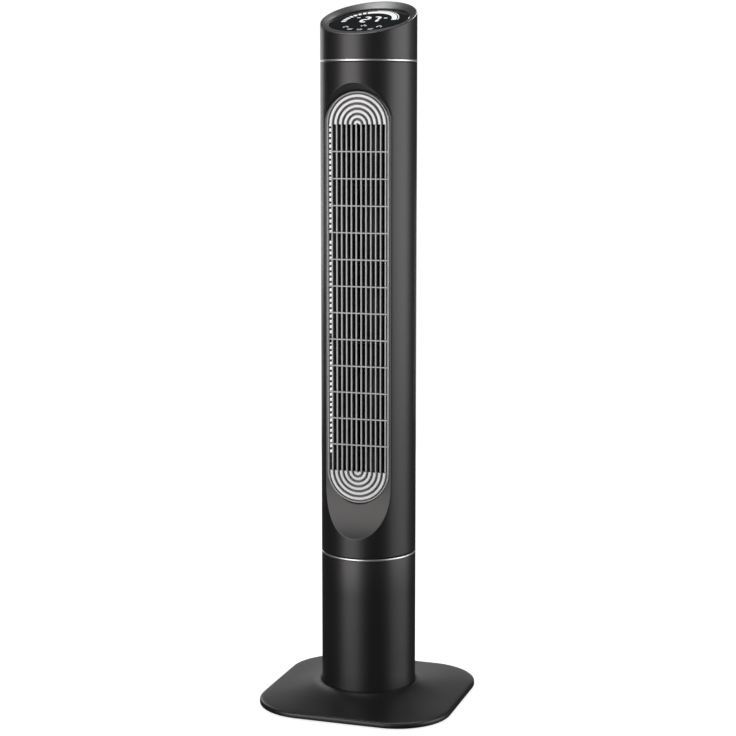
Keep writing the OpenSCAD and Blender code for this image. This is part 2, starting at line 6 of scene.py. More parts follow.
import bmesh
import bpy
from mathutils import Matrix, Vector


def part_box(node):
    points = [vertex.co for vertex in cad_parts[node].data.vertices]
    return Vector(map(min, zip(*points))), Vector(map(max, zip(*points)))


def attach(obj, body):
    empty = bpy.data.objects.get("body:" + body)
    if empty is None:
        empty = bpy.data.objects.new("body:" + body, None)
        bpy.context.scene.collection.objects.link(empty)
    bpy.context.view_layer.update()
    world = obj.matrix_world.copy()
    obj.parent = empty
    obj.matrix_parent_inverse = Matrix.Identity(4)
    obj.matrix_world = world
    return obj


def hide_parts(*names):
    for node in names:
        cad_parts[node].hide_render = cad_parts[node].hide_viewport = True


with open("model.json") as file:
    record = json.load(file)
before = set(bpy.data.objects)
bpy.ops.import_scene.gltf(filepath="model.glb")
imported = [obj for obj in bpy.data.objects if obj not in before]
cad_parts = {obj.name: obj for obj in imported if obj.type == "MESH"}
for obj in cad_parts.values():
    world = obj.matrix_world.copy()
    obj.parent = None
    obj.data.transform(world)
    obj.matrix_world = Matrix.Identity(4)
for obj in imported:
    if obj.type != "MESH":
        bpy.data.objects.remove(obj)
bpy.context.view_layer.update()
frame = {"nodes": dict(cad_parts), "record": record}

MM = 0.001

# ---- Sizes read from the CAD model ----

TOWER_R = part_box("column_shell")[1].x
COLUMN_LOW, COLUMN_TOP = (corner.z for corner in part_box("column_shell"))
CASING_LOW, CASING_TOP = (corner.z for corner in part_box("front_casing"))
RING_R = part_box("upper_trim_ring")[1].x
ARC_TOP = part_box("upper_grille_cap")[0].z
ARC_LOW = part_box("lower_grille_cap")[1].z
CAP_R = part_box("upper_grille_cap")[1].x
FLANGE_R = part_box("front_grille")[1].x
RIM_Y = -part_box("front_grille")[0].y
BASE_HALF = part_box("base_plate")[1].x
HEAD_LOW, HEAD_TOP = (corner.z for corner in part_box("head_shell"))

# ---- Sizes repeated from the CAD source ----

WALL = 2.5 * MM
RECESS_Y = 56 * MM
RECESS_HALF = 58.5 * MM
RECESS_FLARE = 7.5 / 24  # sideways for each step forward, beside the grille
ARCH_START = 53.8 * MM
ARCH_FLARE = 12.2 / 24  # the same straight above the grille
OPENING_R = 52 * MM
MOUTH_R = 50.6 * MM
SCOOP_START = ARC_LOW - 24 * MM
SCOOP_R = 170 * MM
SLAT_COUNT = 12
SLAT_PITCH = 8.4 * MM
SLAT_W = 2.2 * MM
SLAT_Y = 54 * MM
SLAT_D = 5 * MM
SLAT_END = 3 * MM
RIDGE_W = 5.6 * MM
RIB_COUNT = 12
RIB_FRONT_Y = 57.5 * MM
RIB_BACK_Y = 53 * MM
BASE_CORNER_R = 92 * MM
HEAD_TILT = math.radians(20.8)
PANEL_TILT = math.radians(18)
RIM_IN_R = 67 * MM
PANEL_T = 2 * MM
PANEL_DROP = 5 * MM
HEAD_MID = HEAD_TOP - TOWER_R * math.tan(HEAD_TILT)
PANEL_MID = HEAD_MID - PANEL_DROP

# ---- Sizes that only the detailed pieces have ----

SLAT_WIDER = 0.1 * MM  # on each side, at the front
SLAT_BACK_WIDER = 0.5 * MM  # on each side, at the back
RIB_HALF = 1.0 * MM
RIDGE_COUNT = SLAT_COUNT // 2
CASING_WALL = 2.3 * MM
BAR_POINTS = 6


# ---- Material tools ----

def new_material(name):
    """A node material, its node tree, its Principled shader and object coordinates."""
    material = bpy.data.materials.new(name)
    material.use_nodes = True
    tree = material.node_tree
    shader = tree.nodes["Principled BSDF"]
    coords = tree.nodes.new("ShaderNodeTexCoord").outputs["Object"]
    return material, tree, shader, coords


def noise(tree, coords, scale, detail=3.0, stretch=None):
    """A noise value from 0 to 1 at this many waves a metre."""
    node = tree.nodes.new("ShaderNodeTexNoise")
    node.inputs["Scale"].default_value = scale
    node.inputs["Detail"].default_value = detail
    source = coords
    if stretch:
        mapping = tree.nodes.new("ShaderNodeMapping")
        mapping.inputs["Scale"].default_value = stretch
        tree.links.new(coords, mapping.inputs["Vector"])
        source = mapping.outputs["Vector"]
    tree.links.new(source, node.inputs["Vector"])
    return node.outputs["Fac"]


def spread(tree, value, low, high, out_low, out_high):
    """Maps a value's range from low..high to out_low..out_high."""
    node = tree.nodes.new("ShaderNodeMapRange")
    node.inputs["From Min"].default_value = low
    node.inputs["From Max"].default_value = high
    node.inputs["To Min"].default_value = out_low
    node.inputs["To Max"].default_value = out_high
    tree.links.new(value, node.inputs["Value"])
    return node.outputs["Result"]


def tint(tree, value, dark, light):
    """A colour between two others, by a value from 0 to 1."""
    node = tree.nodes.new("ShaderNodeValToRGB")
    node.color_ramp.elements[0].color = (*dark, 1)
    node.color_ramp.elements[1].color = (*light, 1)
    tree.links.new(value, node.inputs["Fac"])
    return node.outputs["Color"]


def bump(tree, shader, height, strength, distance):
    """Relief from a height value; distance is in metres."""
    node = tree.nodes.new("ShaderNodeBump")
    node.inputs["Strength"].default_value = strength
    node.inputs["Distance"].default_value = distance
    tree.links.new(height, node.inputs["Height"])
    tree.links.new(node.outputs["Normal"], shader.inputs["Normal"])


def plastic(name, dark, light, rough, grain=1600.0, strength=0.10, specular=0.5):
    """Moulded plastic: a fine spark-eroded grain, and broad faint changes in colour and gloss."""
    material, tree, shader, coords = new_material(name)
    broad = noise(tree, coords, 14.0)
    fine = noise(tree, coords, grain, detail=2.0)
    tree.links.new(tint(tree, spread(tree, broad, 0.3, 0.7, 0, 1), dark, light), shader.inputs["Base Color"])
    tree.links.new(spread(tree, fine, 0.25, 0.75, rough[0], rough[1]), shader.inputs["Roughness"])
    shader.inputs["Specular IOR Level"].default_value = specular
    bump(tree, shader, fine, strength, 0.05 * MM)
    return material


def metal(name, dark, light, rough, stretch, scale=900.0, strength=0.06):
    """Bare or plated metal with fine drawn or turned lines along the stretch."""
    material, tree, shader, coords = new_material(name)
    lines = noise(tree, coords, scale, detail=4.0, stretch=stretch)
    cloud = noise(tree, coords, 30.0)
    tree.links.new(tint(tree, spread(tree, cloud, 0.3, 0.7, 0, 1), dark, light), shader.inputs["Base Color"])
    tree.links.new(spread(tree, lines, 0.3, 0.7, rough[0], rough[1]), shader.inputs["Roughness"])
    shader.inputs["Metallic"].default_value = 1.0
    bump(tree, shader, lines, strength, 0.03 * MM)
    return material


def satin_black():
    return plastic("satin_black", (0.006, 0.006, 0.0063), (0.0078, 0.0077, 0.0078), (0.36, 0.44))


def gloss_black():
    material, tree, shader, coords = new_material("gloss_black")
    smear = noise(tree, coords, 60.0, detail=5.0)
    dust = noise(tree, coords, 5200.0, detail=1.0)
    tree.links.new(tint(tree, smear, (0.0025, 0.0025, 0.003), (0.004, 0.004, 0.0048)),
                   shader.inputs["Base Color"])
    tree.links.new(spread(tree, smear, 0.3, 0.7, 0.05, 0.12), shader.inputs["Roughness"])
    bump(tree, shader, dust, 0.02, 0.01 * MM)
    return material


def silver_trim():
    return metal("silver_trim", (0.58, 0.58, 0.59), (0.68, 0.68, 0.69), (0.36, 0.46), (0.02, 0.02, 6.0))


def silver_paint(name, dark, light):
    """Silver paint: small bright flakes on a slightly darker ground."""
    material, tree, shader, coords = new_material(name)
    flakes = tree.nodes.new("ShaderNodeTexVoronoi")
    flakes.inputs["Scale"].default_value = 3200.0
    tree.links.new(coords, flakes.inputs["Vector"])
    cloud = noise(tree, coords, 40.0)
    tree.links.new(tint(tree, flakes.outputs["Distance"], light, dark), shader.inputs["Base Color"])
    tree.links.new(spread(tree, cloud, 0.3, 0.7, 0.38, 0.46), shader.inputs["Roughness"])
    shader.inputs["Metallic"].default_value = 0.2
    bump(tree, shader, flakes.outputs["Distance"], 0.05, 0.03 * MM)
    return material


def lit_white():
    """Display light shining through the panel, a little uneven along its diffuser."""
    material, tree, shader, coords = new_material("lit_white")
    cells = noise(tree, coords, 420.0, detail=1.0)
    tree.links.new(tint(tree, cells, (0.72, 0.76, 0.80), (1.0, 1.0, 1.0)), shader.inputs["Emission Color"])
    tree.links.new(spread(tree, cells, 0.2, 0.8, 0.25, 0.35), shader.inputs["Roughness"])
    shader.inputs["Base Color"].default_value = (0.05, 0.05, 0.05, 1)
    shader.inputs["Emission Strength"].default_value = 0.95
    return material


def icon_grey():
    """Printed grey of the touch icons."""
    material, tree, shader, coords = new_material("icon_grey")
    ink = noise(tree, coords, 900.0)
    tree.links.new(tint(tree, ink, (0.34, 0.34, 0.35), (0.46, 0.46, 0.47)), shader.inputs["Base Color"])
    tree.links.new(spread(tree, ink, 0.3, 0.7, 0.3, 0.45), shader.inputs["Roughness"])
    return material


def circuit_green():
    material, tree, shader, coords = new_material("circuit_green")
    bricks = tree.nodes.new("ShaderNodeTexBrick")
    bricks.inputs["Scale"].default_value = 260.0
    bricks.inputs["Color1"].default_value = (0.02, 0.10, 0.05, 1)
    bricks.inputs["Color2"].default_value = (0.03, 0.14, 0.07, 1)
    bricks.inputs["Mortar"].default_value = (0.10, 0.24, 0.12, 1)
    tree.links.new(coords, bricks.inputs["Vector"])
    tree.links.new(bricks.outputs["Color"], shader.inputs["Base Color"])
    tree.links.new(spread(tree, noise(tree, coords, 300.0), 0.3, 0.7, 0.3, 0.5), shader.inputs["Roughness"])
    return material


def wound_copper():
    """Enamelled wire laid in turns."""
    material, tree, shader, coords = new_material("wound_copper")
    turns = tree.nodes.new("ShaderNodeTexWave")
    turns.bands_direction = "Z"
    turns.inputs["Scale"].default_value = 320.0
    turns.inputs["Distortion"].default_value = 1.5
    tree.links.new(coords, turns.inputs["Vector"])
    tree.links.new(tint(tree, turns.outputs["Fac"], (0.30, 0.11, 0.05), (0.62, 0.27, 0.12)),
                   shader.inputs["Base Color"])
    tree.links.new(spread(tree, turns.outputs["Fac"], 0, 1, 0.45, 0.28), shader.inputs["Roughness"])
    shader.inputs["Metallic"].default_value = 0.8
    bump(tree, shader, turns.outputs["Fac"], 0.4, 0.1 * MM)
    return material


def make_materials():
    return {
        "satin_black": satin_black(),
        # The caps' plates between the ridges are painted dark grey: painted shade for the deep grooves.
        "painted_groove_shade": plastic("painted_groove_shade", (0.05, 0.05, 0.052), (0.066, 0.066, 0.068), (0.42, 0.5)),
        "gloss_black": gloss_black(),
        "silver_trim": silver_trim(),
        "silver_grille": silver_paint("silver_grille", (0.31, 0.32, 0.325), (0.39, 0.40, 0.405)),
        # The caps' ridges take a lighter copy of the grille's silver paint: painted light, as if the front
        # light falls on them.
        "silver_ridges_painted_lit": silver_paint("silver_ridges_painted_lit", (0.54, 0.55, 0.56), (0.68, 0.69, 0.70)),
        "blade_black": plastic("blade_black", (0.010, 0.010, 0.011), (0.014, 0.014, 0.015), (0.5, 0.62)),
        "bare_steel": metal("bare_steel", (0.42, 0.42, 0.44), (0.56, 0.56, 0.58), (0.26, 0.42), (1, 1, 5)),
        "ballast_iron": metal("ballast_iron", (0.12, 0.12, 0.12), (0.2, 0.19, 0.19), (0.55, 0.75), (1, 1, 1),
                              scale=260.0, strength=0.4),
        "rubber": plastic("rubber", (0.014, 0.014, 0.014), (0.022, 0.022, 0.022), (0.62, 0.78), grain=900.0,
                          strength=0.2, specular=0.3),
        "bronze": metal("bronze", (0.42, 0.25, 0.11), (0.52, 0.33, 0.15), (0.35, 0.5), (1, 1, 3)),
        "copper_wire": wound_copper(),
        "white_nylon": plastic("white_nylon", (0.62, 0.62, 0.58), (0.70, 0.70, 0.66), (0.4, 0.52)),
        "circuit_board": circuit_green(),
        "lit_white": lit_white(),
        "icon_grey": icon_grey(),
    }


MATERIALS = make_materials()


# ---- Mesh tools ----

def add_piece(name, verts, faces, body, slot, material=None, sharp=32.0, replaced=()):
    """A smooth-shaded mesh piece that rides on a body and takes its finish from a slot."""
    mesh = bpy.data.meshes.new(name)
    mesh.from_pydata([tuple(v) for v in verts], [], faces)
    work = bmesh.new()
    work.from_mesh(mesh)
    bmesh.ops.remove_doubles(work, verts=work.verts, dist=1e-6)
    bmesh.ops.dissolve_degenerate(work, edges=work.edges, dist=1e-7)
    bmesh.ops.recalc_face_normals(work, faces=work.faces)
    work.to_mesh(mesh)
    work.free()
    mesh.shade_smooth()
    mesh.set_sharp_from_angle(angle=math.radians(sharp))
    piece = bpy.data.objects.new(name, mesh)
    bpy.context.scene.collection.objects.link(piece)
    mesh.materials.append(MATERIALS[material or slot])
    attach(piece, body)
    if replaced:
        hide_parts(*replaced)
    return piece


def loft(rings, ring_closed=True, loop_closed=False):
    """Quads between neighbouring rings of equal length; loop_closed also joins the last ring to the first."""
    count = len(rings[0])
    faces = []
    pairs = len(rings) if loop_closed else len(rings) - 1
    for i in range(pairs):
        a, b = i * count, (i + 1) % len(rings) * count
        for j in range(count if ring_closed else count - 1):
            k = (j + 1) % count
            faces.append((a + j, a + k, b + k, b + j))
    return [p for ring in rings for p in ring], faces


def turned(profile, count=192):
    """A closed outline of (radius, height) points turned round the tower's axis."""
    rings = []
    for r, z in profile:
        rings.append([(r * math.cos(t), r * math.sin(t), z) for t in angles(count)])
    return loft(rings, loop_closed=True)


def angles(count, start=0.0, end=2 * math.pi):
    return [start + (end - start) * i / count for i in range(count)]


def mix(a, b, t):
    return a + (b - a) * t


def steps(count):
    return [i / count for i in range(count + 1)]


def rounded(points, radius, parts=4):
    """The outline with its corners cut to short arcs, for (x, y) points in order."""
    out = []
    for i, corner in enumerate(points):
        corner = Vector(corner)
        before, after = Vector(points[i - 1]) - corner, Vector(points[(i + 1) % len(points)]) - corner
        cut = min(radius, before.length * 0.45, after.length * 0.45)
        a, b = corner + before.normalized() * cut, corner + after.normalized() * cut
        for t in steps(parts):
            out.append(tuple(a * (1 - t) ** 2 + corner * 2 * t * (1 - t) + b * t ** 2))
    return out


# ---- Base ----

def base_edge(angle):
    """Distance from the axis to the rounded square's edge in this direction."""
    c, s = abs(math.cos(angle)), abs(math.sin(angle))
    flat = BASE_HALF - BASE_CORNER_R
    if s * BASE_HALF <= c * flat:
        return BASE_HALF / c
    if c * BASE_HALF <= s * flat:
        return BASE_HALF / s
    along = flat * (c + s)
    return along + math.sqrt(along ** 2 - 2 * flat ** 2 + BASE_CORNER_R ** 2)


# The base's outline in mm, as (radius, height): swell round the column, dome, rim and underside
BASE_OUTLINE = [
    (80.3, 26.0), (80.6, 27.7), (81.4, 28.4), (82.8, 28.5), (84.6, 27.9), (87, 26.6), (90, 25.1), (94, 23.5),
    (100, 21.7), (107, 20.0), (116, 18.0), (126, 16.2), (136, 14.8), (146, 13.6), (153, 12.8), (158, 12.2),
    (161.5, 11.7), (163.6, 11.15), (165.0, 10.2), (165.8, 8.9), (166, 7.4), (166, 3.6), (165.6, 2.5),
    (164.6, 2.0), (163.2, 2.0), (163, 2.6), (163, 7.6), (161, 8.6), (146, 10.6), (116, 14.9), (95, 19.6),
    (88, 21), (80.25, 21),
]


def make_base():
    """The domed square base: round at the column, and more and more square towards its rim."""
    edge_r = 166 * MM
    round_r = 82 * MM
    lateness = 1.6
    rings = []
    for r, z in BASE_OUTLINE:
        share = max(0.0, (r * MM - round_r) / (edge_r - round_r)) ** lateness
        ring = []
        for t in angles(320):
            reach = r * MM + (base_edge(t) - edge_r) * share
            ring.append((reach * math.cos(t), reach * math.sin(t), z * MM))
        rings.append(ring)
    verts, faces = loft(rings, loop_closed=True)
    add_piece("base_top", verts, faces, "stand", "satin_black", sharp=40, replaced=["base_plate"])


def make_column():
    """The still tube under the tower, with a rounded upper edge."""
    inner, edge = TOWER_R - WALL, 0.7 * MM
    profile = [(TOWER_R, COLUMN_LOW), (TOWER_R, mix(COLUMN_LOW, COLUMN_TOP, 0.25)),
               (TOWER_R, mix(COLUMN_LOW, COLUMN_TOP, 0.5)), (TOWER_R, mix(COLUMN_LOW, COLUMN_TOP, 0.75)),
               (TOWER_R, COLUMN_TOP - edge), (TOWER_R - 0.2 * MM, COLUMN_TOP - 0.2 * MM),
               (TOWER_R - edge, COLUMN_TOP), (inner, COLUMN_TOP), (inner, COLUMN_LOW)]
    add_piece("column", *turned(profile), "stand", "satin_black", replaced=["column_shell"])


def make_trim_ring(name, node, body):
    """A silver band with a softly crowned face and rounded edges."""
    low, high = (corner.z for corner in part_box(node))
    height, inner = high - low, RING_R - 6 * MM
    profile = [(RING_R - 1.1 * MM, low), (RING_R - 0.5 * MM, low + 0.1 * height),
               (RING_R - 0.12 * MM, low + 0.25 * height), (RING_R, low + 0.5 * height),
               (RING_R - 0.12 * MM, low + 0.75 * height), (RING_R - 0.5 * MM, low + 0.9 * height),
               (RING_R - 1.1 * MM, high), (inner, high), (inner, low)]
    add_piece(name, *turned(profile), body, "silver_trim", sharp=50, replaced=[node])


# ---- Front casing ----

def recess_depth(x, z):
    """Distance in front of the axis of the recess's surface."""
    if z <= ARC_TOP:
        drop = max(0.0, SCOOP_START - z)
        centre = RECESS_Y + SCOOP_R
        return centre - math.sqrt(max(SCOOP_R ** 2 - drop ** 2, 0.0))
    reach = math.hypot(x, z - ARC_TOP)
    up = (z - ARC_TOP) / reach
    return RECESS_Y + max(0.0, reach - mix(RECESS_HALF, ARCH_START, up)) / mix(RECESS_FLARE, ARCH_FLARE, up)


def skin_depth(x):
    """Distance in front of the axis of the tower's round skin."""
    return math.sqrt(max(TOWER_R ** 2 - x ** 2, 0.0))


def recess_reach(spine_z, direction):
    """How far from the spine the recess's edge is, in this direction of the front view, found by halving."""
    low, high = 30 * MM, 125 * MM
    halvings = 40
    for _ in range(halvings):
        middle = (low + high) / 2
        x, z = middle * direction[0], spine_z + middle * direction[1]
        if abs(x) < TOWER_R and skin_depth(x) > recess_depth(x, z):
            low = middle
        else:
            high = middle
    return low


def casing_rays():
    """Spine points and directions round the grille, with where each ray ends on the casing's outer edge.
    The outer edge is given unrolled: distance round the skin from the front line, and height."""
    side = TOWER_R * math.pi / 2
    rays = []

    def fan(spine_z, start, end, count, height):
        for i in range(count):
            t = start + (end - start) * i / count
            c, s = math.cos(t), math.sin(t)
            reach = min(side / max(abs(c), 1e-9), height / max(abs(s), 1e-9))
            rays.append((spine_z, (c, s), (c * reach, spine_z + s * reach)))

    def straight(sign, start, end, count):
        for i in range(count):
            z = mix(start, end, i / count)
            rays.append((z, (sign, 0.0), (sign * side, z)))

    above, below = CASING_TOP - ARC_TOP, ARC_LOW - CASING_LOW
    top_corner, low_corner = math.atan2(above, side), math.atan2(below, side)
    side_rays, top_rays, top_side_rays, low_rays, low_side_rays = 72, 72, 28, 96, 48
    straight(1, ARC_LOW, ARC_TOP, side_rays)
    fan(ARC_TOP, 0, top_corner, top_side_rays, above)
    fan(ARC_TOP, top_corner, math.pi - top_corner, top_rays, above)
    fan(ARC_TOP, math.pi - top_corner, math.pi, top_side_rays, above)
    straight(-1, ARC_TOP, ARC_LOW, side_rays)
    fan(ARC_LOW, math.pi, math.pi + low_corner, low_side_rays, below)
    fan(ARC_LOW, math.pi + low_corner, 2 * math.pi - low_corner, low_rays, below)
    fan(ARC_LOW, 2 * math.pi - low_corner, 2 * math.pi, low_side_rays, below)
    return rays


def casing_columns():
    """For each ray, its points from the grille's opening out to the casing's edge."""
    round_over = 0.7 * MM
    columns = []
    for spine_z, (c, s), (out_s, out_z) in casing_rays():
        edge = recess_reach(spine_z, (c, s))
        fold = mix(OPENING_R, edge, 0.8)
        if s > 0:
            fold = min(mix(RECESS_HALF, ARCH_START, s), fold)

        def floor_point(reach):
            x, z = reach * c, spine_z + reach * s
            return Vector((x, -recess_depth(x, z), z))

        edge_x = edge * c
        edge_s, edge_z = TOWER_R * math.asin(edge_x / TOWER_R), spine_z + edge * s
        length = math.hypot(out_s - edge_s, out_z - edge_z)

        def skin_point(t):
            a = mix(edge_s, out_s, t) / TOWER_R
            return Vector((TOWER_R * math.sin(a), -TOWER_R * math.cos(a), mix(edge_z, out_z, t)))

        inner = [floor_point(mix(OPENING_R, fold, t)) for t in steps(8)]
        inner += [floor_point(mix(fold, edge - round_over, t)) for t in steps(10)[1:]]
        before, corner, after = inner[-1], skin_point(0), skin_point(round_over / length)
        turn = [before * (1 - t) ** 2 + corner * 2 * t * (1 - t) + after * t ** 2 for t in (0.35, 0.65)]
        outer = [skin_point(mix(round_over / length, 1, t)) for t in steps(22)]
        columns.append(inner + turn + outer)
    return columns


def make_front_casing():
    """The front half of the tower's skin, with its recess and scoop, thickened inwards."""
    verts, faces = loft(casing_columns(), ring_closed=False, loop_closed=True)
    piece = add_piece("casing_front", verts, faces, "tower", "satin_black", sharp=38,
                      replaced=["front_casing"])
    shell = piece.modifiers.new("shell", "SOLIDIFY")
    shell.thickness = CASING_WALL
    shell.offset = -1.0


# ---- Grille ----

def stadium(radius):
    """Points (x, z) round the grille at this distance from its spine."""
    end_parts, side_parts = 72, 30
    points = [(radius * math.cos(t), ARC_TOP + radius * math.sin(t)) for t in angles(end_parts, 0, math.pi)]
    points += [(-radius, mix(ARC_TOP, ARC_LOW, i / side_parts)) for i in range(side_parts)]
    points += [(radius * math.cos(t), ARC_LOW + radius * math.sin(t))
               for t in angles(end_parts, math.pi, 2 * math.pi)]
    points += [(radius, mix(ARC_LOW, ARC_TOP, i / side_parts)) for i in range(side_parts)]
    return points


def make_grille_rim():
    """The bead round the grille, with the sleeve that seats it in the casing."""
    foot_y, sleeve_r = RECESS_Y + 0.1 * MM, OPENING_R - 0.3 * MM
    bead = [(FLANGE_R, foot_y), (FLANGE_R, RIM_Y - 1.5 * MM), (FLANGE_R - 0.35 * MM, RIM_Y - 0.55 * MM),
            (FLANGE_R - 0.9 * MM, RIM_Y - 0.1 * MM), (FLANGE_R - 1.4 * MM, RIM_Y),
            (MOUTH_R + 0.9 * MM, RIM_Y - 0.1 * MM), (MOUTH_R + 0.35 * MM, RIM_Y - 0.55 * MM),
            (MOUTH_R, RIM_Y - 1.5 * MM), (MOUTH_R, RECESS_Y - WALL), (sleeve_r, RECESS_Y - WALL),
            (sleeve_r, foot_y)]
    rings = [[(x, -y, z) for x, z in stadium(r)] for r, y in bead]
    verts, faces = loft(rings, loop_closed=True)
    add_piece("grille_rim", verts, faces, "tower", "silver_grille", sharp=50, replaced=["front_grille"])


def add_bars(name, outlines, place):
    """Straight bars in one mesh: each outline is drawn at both ends of its bar and closed there."""
    verts, faces = [], []
    for outline, (start, end) in outlines:
        first = len(verts)
        count = len(outline)
        verts += [place(u, v, start) for u, v in outline] + [place(u, v, end) for u, v in outline]
        faces += [(first + j, first + (j + 1) % count, first + count + (j + 1) % count, first + count + j)
                  for j in range(count)]
        faces.append(tuple(range(first, first + count)))
        faces.append(tuple(range(first + 2 * count - 1, first + count - 1, -1)))
    return add_piece(name, verts, faces, "tower", "silver_grille", sharp=50)


def make_slats():
    """Upright slats, a little thicker at the back, as moulded ones are."""
    half, back_half = SLAT_W / 2 + SLAT_WIDER, SLAT_W / 2 + SLAT_BACK_WIDER
    back, front = -(SLAT_Y - SLAT_D), -SLAT_Y
    bars = []
    for i in range(SLAT_COUNT):
        x = (i - (SLAT_COUNT - 1) / 2) * SLAT_PITCH
        outline = rounded([(x - back_half, back), (x - half, front),
                           (x + half, front), (x + back_half, back)], 0.35 * MM)
        bars.append((outline, (ARC_LOW - SLAT_END, ARC_TOP + SLAT_END)))
    add_bars("grille_slats", bars, lambda u, v, w: (u, v, w))


def make_ribs():
    """Level ribs across the slats, just before them."""
    bars = []
    bay = (ARC_TOP - ARC_LOW) / (RIB_COUNT + 1)
    reach = MOUTH_R + 0.3 * MM
    for k in range(1, RIB_COUNT + 1):
        z = ARC_LOW + k * bay
        outline = rounded([(-RIB_BACK_Y, z - RIB_HALF), (-RIB_FRONT_Y, z - RIB_HALF),
                           (-RIB_FRONT_Y, z + RIB_HALF), (-RIB_BACK_Y, z + RIB_HALF)], 0.3 * MM)
        bars.append((outline, (-reach, reach)))
    add_bars("grille_ribs", bars, lambda u, v, w: (w, u, v))


def half_turned(profile, centre_z, sign, count=64):
    """A closed outline of (radius, distance before the axis) points turned half round the spine's end."""
    rows = []
    for t in steps(count):
        c, s = math.cos(math.pi * t), math.sin(math.pi * t) * sign
        rows.append([(r * c, -y, centre_z + r * s) for r, y in profile])
    verts, faces = loft(rows)
    size = len(profile)
    return verts, faces + [tuple(range(size)), tuple(range(len(verts) - 1, len(verts) - 1 - size, -1))]


def make_cap(name, node, centre_z, sign):
    """A half disc painted dark grey, as painted shade in its grooves, with silver ridges in a lighter copy of
    the grille's paint, as painted light, in line with the slats; sign is 1 for the upper cap, else -1.
    """
    plate_y = SLAT_Y + 0.6 * MM
    plate = [(0.4 * MM, SLAT_Y), (0.4 * MM, plate_y), (CAP_R, plate_y), (CAP_R, SLAT_Y)]
    # The plate's dark grey is painted shade for the grooves between the ridges.
    add_piece(name + "_plate", *half_turned(plate, centre_z, sign), "tower", "satin_black",
              material="painted_groove_shade", replaced=[node])
    verts, faces = [], []
    foot_y = SLAT_Y + 0.3 * MM
    for k in range(RIDGE_COUNT):
        middle, half = (k + 0.5) * SLAT_PITCH, RIDGE_W / 2
        outline = rounded([(middle - half, foot_y), (middle - 0.8 * half, RIM_Y),
                           (middle + 0.8 * half, RIM_Y), (middle + half, foot_y)], 0.7 * MM)
        more_verts, more_faces = half_turned(outline, centre_z, sign)
        faces += [tuple(i + len(verts) for i in face) for face in more_faces]
        verts += more_verts
    # The ridges' lighter silver is painted light, over the same paint as the slats.
    add_piece(name + "_ridges", verts, faces, "tower", "silver_grille", material="silver_ridges_painted_lit", sharp=50)


# ---- Head ----

def head_rings(profile, count=256):
    """Rings round the axis from (radius, function that gives the height at this y) pairs."""
    rings = []
    for r, height in profile:
        ring = []
        for t in angles(count):
            x, y = r * math.cos(t), r * math.sin(t)
            ring.append((x, y, height(y)))
        rings.append(ring)
    return rings


def make_head():
    """The slanted head: a rounded edge, and inside it a convex band that falls to the panel."""
    def rim(drop):
        return lambda y: HEAD_MID + y * math.tan(HEAD_TILT) - drop * MM

    def well(rise):
        return lambda y: PANEL_MID + y * math.tan(PANEL_TILT) + rise * MM

    def wall(share):
        return lambda y: mix(HEAD_LOW + 0.8 * MM, HEAD_MID + y * math.tan(HEAD_TILT) - 6 * MM, share)

    def slope(share):
        return lambda y: mix(rim(0)(y), well(1.2)(y), share ** crown)

    r, edge, crown = TOWER_R, 1.5 * MM, 1.1
    inner, ledge_r = r - 3 * MM, RIM_IN_R - 18 * MM
    ledge_top = -PANEL_T / MM
    ledge_low = ledge_top - 2.4
    profile = [(inner, lambda y: HEAD_LOW), (r - 0.7 * MM, lambda y: HEAD_LOW),
               (r - 0.15 * MM, lambda y: HEAD_LOW + 0.25 * MM)]
    profile += [(r, wall(t)) for t in steps(4)]
    for a in steps(8):
        turn = a * math.pi / 2
        profile.append((r - edge * (1 - math.cos(turn)), rim(edge / MM * (1 - math.sin(turn)))))
    profile += [(mix(r - edge, RIM_IN_R + 0.4 * MM, t), slope(t)) for t in steps(12)[1:]]
    profile += [(RIM_IN_R + 0.1 * MM, well(0.5)), (RIM_IN_R, well(ledge_top)), (ledge_r, well(ledge_top)),
                (ledge_r, well(ledge_low)), (inner, well(ledge_low))]
    verts, faces = loft(head_rings(profile), loop_closed=True)
    add_piece("head_cover", verts, faces, "tower", "satin_black", sharp=45, replaced=["head_shell"])


def on_panel(u, v, lift):
    """A point on the panel's face: u to the right, v up the slope, and lift off the face, all in mm."""
    c, s = math.cos(PANEL_TILT), math.sin(PANEL_TILT)
    return (u * MM, v * MM * c - lift * MM * s, PANEL_MID + v * MM * s + lift * MM * c)


def make_panel():
    """The glossy panel, with a small bevel round its edge."""
    r, pin_r = (RIM_IN_R - 0.2 * MM) / MM, 0.02
    outline = [(pin_r, 0.0), (r * 0.4, 0.0), (r * 0.8, 0.0), (r - 0.7, 0.0), (r - 0.25, -0.15), (r, -0.6),
               (r, -2.0), (pin_r, -2.0)]
    tilt = math.tan(PANEL_TILT)
    rings = [[(q * MM * math.cos(t), q * MM * math.sin(t), PANEL_MID + q * MM * math.sin(t) * tilt + z * MM)
              for t in angles(192)] for q, z in outline]
    verts, faces = loft(rings, loop_closed=True)
    add_piece("touch_panel", verts, faces, "tower", "gloss_black", sharp=45, replaced=["display_panel"])


def add_marks(name, outlines, material):
    """Thin raised marks on the panel, from closed outlines in panel millimetres."""
    top, foot = 0.12, -0.1
    verts, faces = [], []
    for outline in outlines:
        first, count = len(verts), len(outline)
        for lift in (top, foot):
            verts += [on_panel(u, v, lift) for u, v in outline]
        faces += [(first + j, first + (j + 1) % count, first + count + (j + 1) % count, first + count + j)
                  for j in range(count)]
        if count > BAR_POINTS:
            half = count // 2
            faces += [(first + j, first + j + 1, first + count - 2 - j, first + count - 1 - j)
                      for j in range(half - 1)]
        else:
            faces.append(tuple(range(first, first + count)))
    return add_piece(name, verts, faces, "tower", "gloss_black", material=material, sharp=40)


def arc_mark(radii_out, radii_in, start, end, count=48):
    """A curved strip between two ellipses, as an outline that runs out along one and back along the other."""
    out, back = [], []
    for t in steps(count):
        a = math.radians(mix(start, end, t))
        out.append((radii_out[0] * math.cos(a), radii_out[1] * math.sin(a)))
        back.append((radii_in[0] * math.cos(a), radii_in[1] * math.sin(a)))
    return out + back[::-1]


